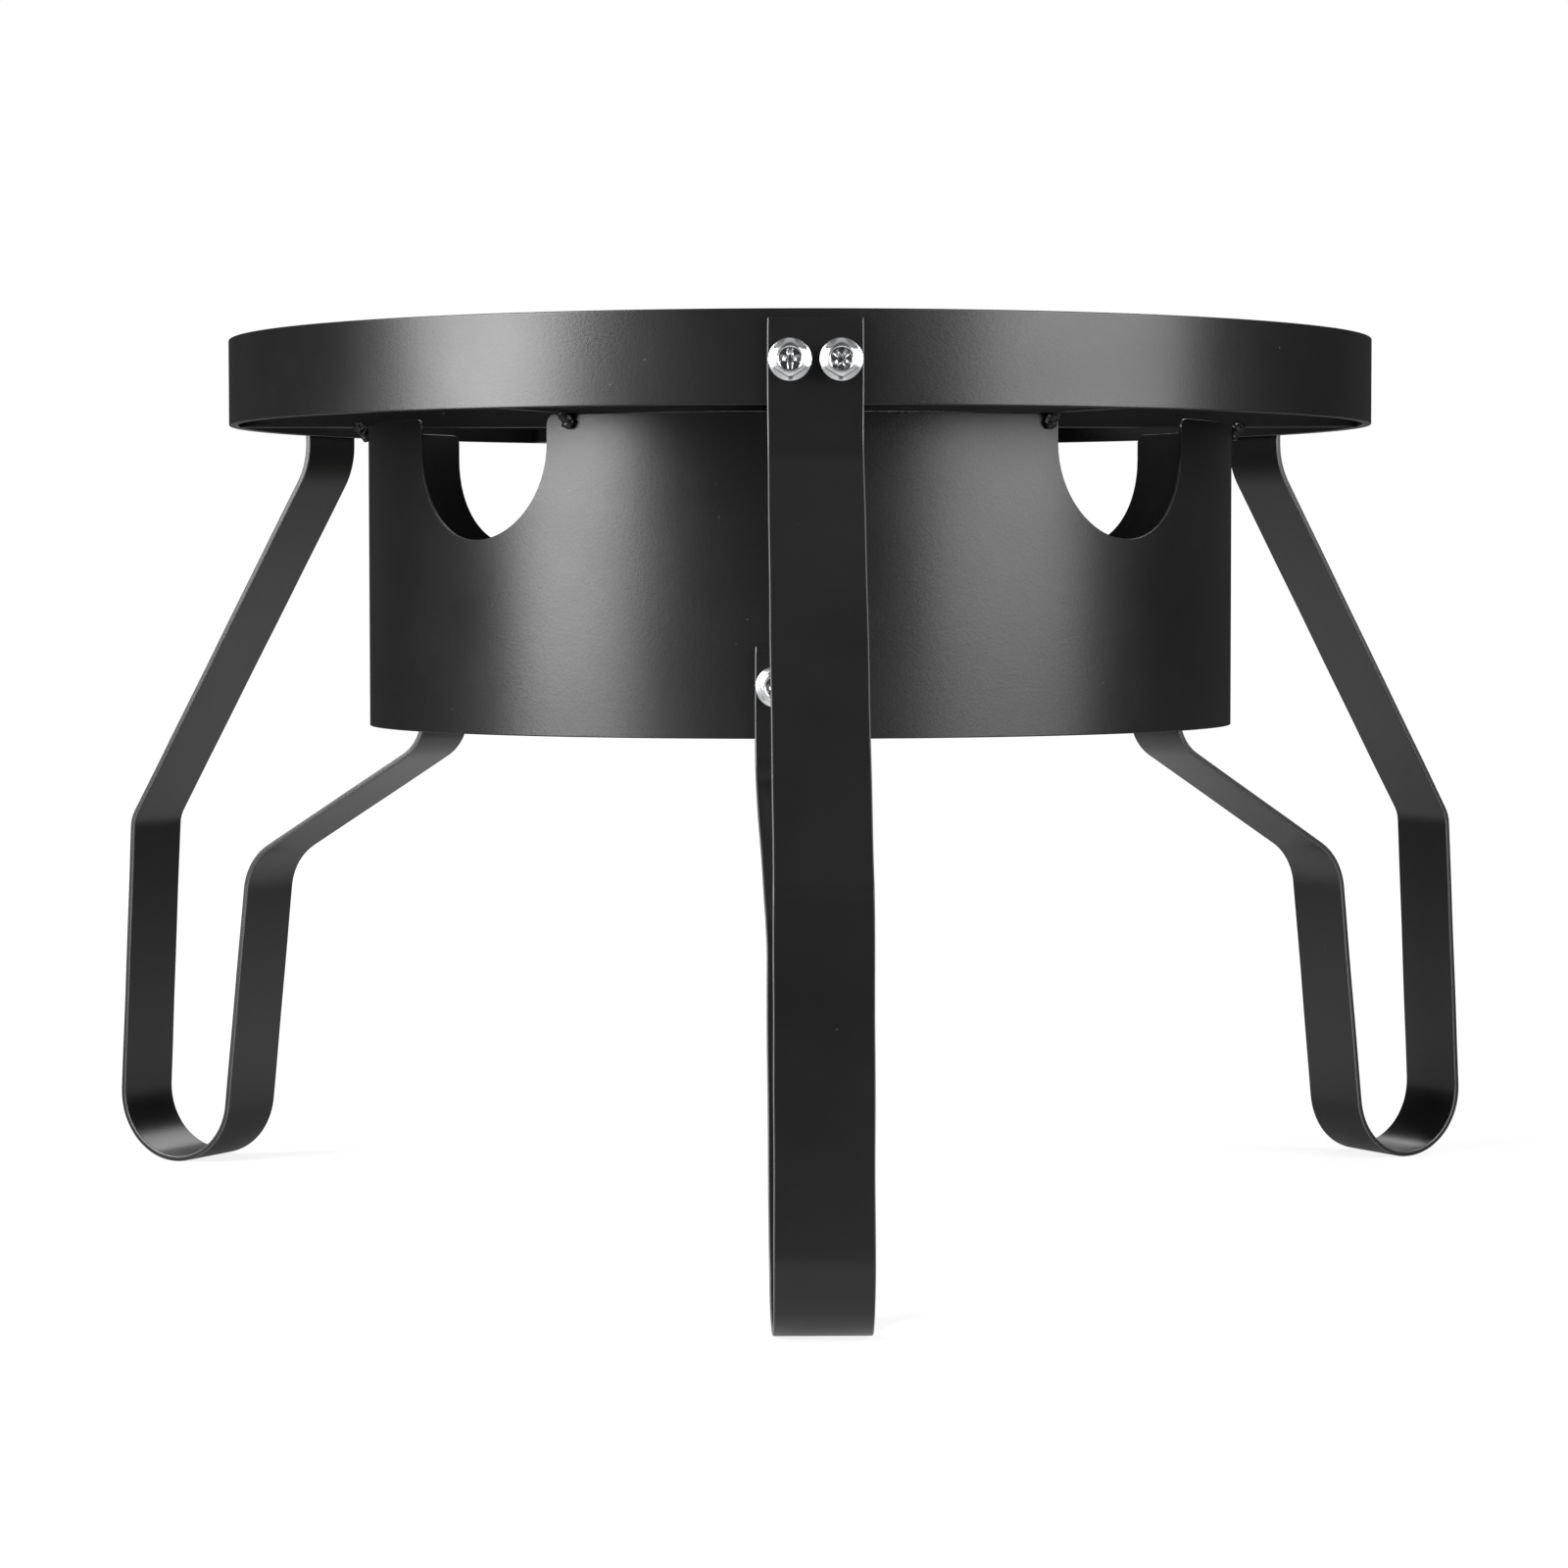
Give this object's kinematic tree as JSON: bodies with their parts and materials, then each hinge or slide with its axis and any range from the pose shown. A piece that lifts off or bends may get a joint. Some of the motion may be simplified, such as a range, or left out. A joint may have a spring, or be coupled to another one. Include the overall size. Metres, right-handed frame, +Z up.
{
  "type": "propane burner stand",
  "caption": "Three-legged burner stand: flat-bar ring with crossed pot bars, bent strap legs and a notched round windscreen that holds a cast-iron gas burner.",
  "frame": {"origin": "middle of the box around the stand, on the floor", "axes": "+Z up, +Y towards the gas inlet, the front leg towards -Y"},
  "size_m": [0.5254, 0.5186, 0.31],
  "materials": {
    "powder_coat": "satin black powder coat with a fine texture",
    "zinc": "bright zinc plate",
    "cast_iron": "sand-cast, dark grey",
    "steel": "plain stamped steel",
    "brass": "turned brass"
  },
  "bodies": {
    "stand": {"top_ring": "powder_coat", "cross_bar": "powder_coat", "support_arm_front_left": "powder_coat", "support_arm_front_right": "powder_coat", "support_arm_rear_left": "powder_coat", "support_arm_rear_right": "powder_coat", "windscreen": "powder_coat", "front_leg": "powder_coat", "left_leg": "powder_coat", "right_leg": "powder_coat", "ring_screws": "zinc", "ring_nuts": "zinc", "windscreen_screws": "zinc", "windscreen_nuts": "zinc", "burner_bracket": "powder_coat", "burner_body": "cast_iron", "burner_cap": "cast_iron", "cap_screws": "steel", "burner_bolt": "zinc", "burner_lock_washer": "steel", "shutter_spring": "steel", "orifice_holder": "brass", "gas_inlet": "brass"},
    "shutter": {"air_shutter": "steel"}
  },
  "joints": [
    {"name": "shutter_turn", "type": "hinge", "parent": "stand", "child": "shutter", "pos_m": [0, 0.22833, 0.2115], "axis": [0, 1, 0], "range_deg": [0, 45]}
  ]
}
